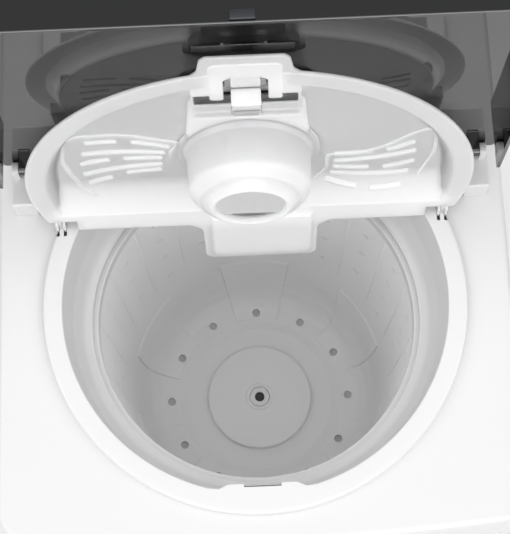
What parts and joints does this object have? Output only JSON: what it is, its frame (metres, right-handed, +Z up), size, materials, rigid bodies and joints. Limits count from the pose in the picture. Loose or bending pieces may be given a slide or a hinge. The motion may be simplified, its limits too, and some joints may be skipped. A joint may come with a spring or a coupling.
{
  "type": "laundry spin dryer",
  "caption": "Top-loading laundry spin dryer shown open: smoked outer lid and pale inner lid with spray cup raised over a slotted spin basket, rear control console.",
  "frame": {"origin": "on the floor, in the middle of the footprint of the whole machine", "axes": "+Z up, +X to the viewer's right seen from the front, front face and lid latch towards -Y, hinges and console towards +Y; stored with both lids open"},
  "size_m": [0.39, 0.381, 0.9964],
  "materials": {
    "casing_white": "glossy",
    "panel_white": "satin",
    "tray_grey": "satin",
    "basket_plastic": "satin",
    "lid_white": "glossy",
    "smoked_lid": "mirror-smooth",
    "lid_frame_dark": "glossy",
    "steel": "zinc plated",
    "motor_iron": "painted",
    "brake_steel": "zinc grey",
    "black_rubber": "matt",
    "motor_winding": "laminated",
    "fascia_grey": "satin",
    "switch_dark": "matt"
  },
  "bodies": {
    "casing": {"cabinet": "casing_white", "top_deck": "casing_white", "rear_console": "casing_white", "inner_lid_clip_left": "casing_white", "inner_lid_clip_right": "casing_white", "rear_cover": "panel_white", "outer_tub": "panel_white", "base_pan": "tray_grey", "drain_tube": "tray_grey", "drain_socket": "tray_grey", "motor_capacitor": "tray_grey", "rinse_inlet": "tray_grey", "rinse_pipe": "tray_grey", "rear_cover_screw_1": "steel", "rear_cover_screw_2": "steel", "rear_cover_screw_3": "steel", "rear_cover_screw_4": "steel", "suspension_spring_1": "steel", "suspension_spring_2": "steel", "suspension_spring_3": "steel", "latch_keeper": "steel", "motor_top_cap": "motor_iron", "motor_shell": "motor_iron", "motor_mount_plate": "brake_steel", "brake_bracket": "brake_steel", "foot_front_left": "black_rubber", "foot_front_right": "black_rubber", "foot_rear_left": "black_rubber", "foot_rear_right": "black_rubber", "power_cord_gland": "black_rubber", "tub_seal": "black_rubber", "brake_cable_sheath": "black_rubber", "lid_bumper_left": "black_rubber", "lid_bumper_right": "black_rubber", "motor_stator": "motor_winding", "console_fascia": "fascia_grey", "lid_switch": "switch_dark", "timer_unit": "switch_dark"},
    "basket": {"basket": "basket_plastic", "basket_rim": "panel_white", "hub_disc": "basket_plastic", "hub_bolt": "tray_grey", "drive_shaft": "steel", "brake_drum": "motor_iron", "motor_rotor": "motor_winding"},
    "inner_lid": {"inner_lid": "lid_white", "spray_cup": "lid_white", "inner_lid_pin_left": "steel", "inner_lid_pin_right": "steel"},
    "latch": {"latch_arm": "lid_white"},
    "outer_lid": {"outer_lid_frame": "lid_frame_dark", "outer_lid_pane": "smoked_lid", "outer_lid_grip": "lid_frame_dark", "outer_lid_pin_left": "steel", "outer_lid_pin_right": "steel"},
    "timer_knob": {"timer_knob": "casing_white", "timer_spindle": "panel_white"},
    "brake": {"brake_lever": "brake_steel", "brake_pad": "black_rubber"},
    "switch_plunger": {"lid_switch_plunger": "panel_white"}
  },
  "joints": [
    {"name": "basket_spin", "type": "hinge", "parent": "casing", "child": "basket", "pos_m": [0, -0.0095, 0.3], "axis": [0, 0, 1], "continuous": true},
    {"name": "outer_lid_hinge", "type": "hinge", "parent": "casing", "child": "outer_lid", "pos_m": [0, 0.0935, 0.7135], "axis": [1, 0, 0], "range_deg": [0, 90]},
    {"name": "inner_lid_hinge", "type": "hinge", "parent": "casing", "child": "inner_lid", "pos_m": [0, 0.0555, 0.6954], "axis": [1, 0, 0], "range_deg": [0, 96.68]},
    {"name": "latch_flex", "type": "hinge", "parent": "inner_lid", "child": "latch", "pos_m": [0, 0.0721, 0.8586], "axis": [1, 0, 0], "range_deg": [0, 6], "stiffness_Nm_per_rad": 0.5},
    {"name": "timer_knob_turn", "type": "hinge", "parent": "casing", "child": "timer_knob", "pos_m": [0.1, 0.1445, 0.76032], "axis": [0, 0.2672, -0.9636], "range_deg": [0, 300]},
    {"name": "brake_lever_turn", "type": "hinge", "parent": "casing", "child": "brake", "pos_m": [-0.074, -0.0555, 0.229], "axis": [0, 0, 1], "range_deg": [0, 8]},
    {"name": "lid_switch_press", "type": "slide", "parent": "casing", "child": "switch_plunger", "axis": [0, 0, -1], "range_m": [0, 0.003]}
  ],
  "couplings": [
    {"joint": "inner_lid_hinge", "follows": "outer_lid_hinge", "ratio": 1.0742},
    {"joint": "brake_lever_turn", "follows": "outer_lid_hinge", "ratio": 0.08888},
    {"joint": "lid_switch_press", "follows": "outer_lid_hinge", "m_per_rad": 0.0019}
  ]
}
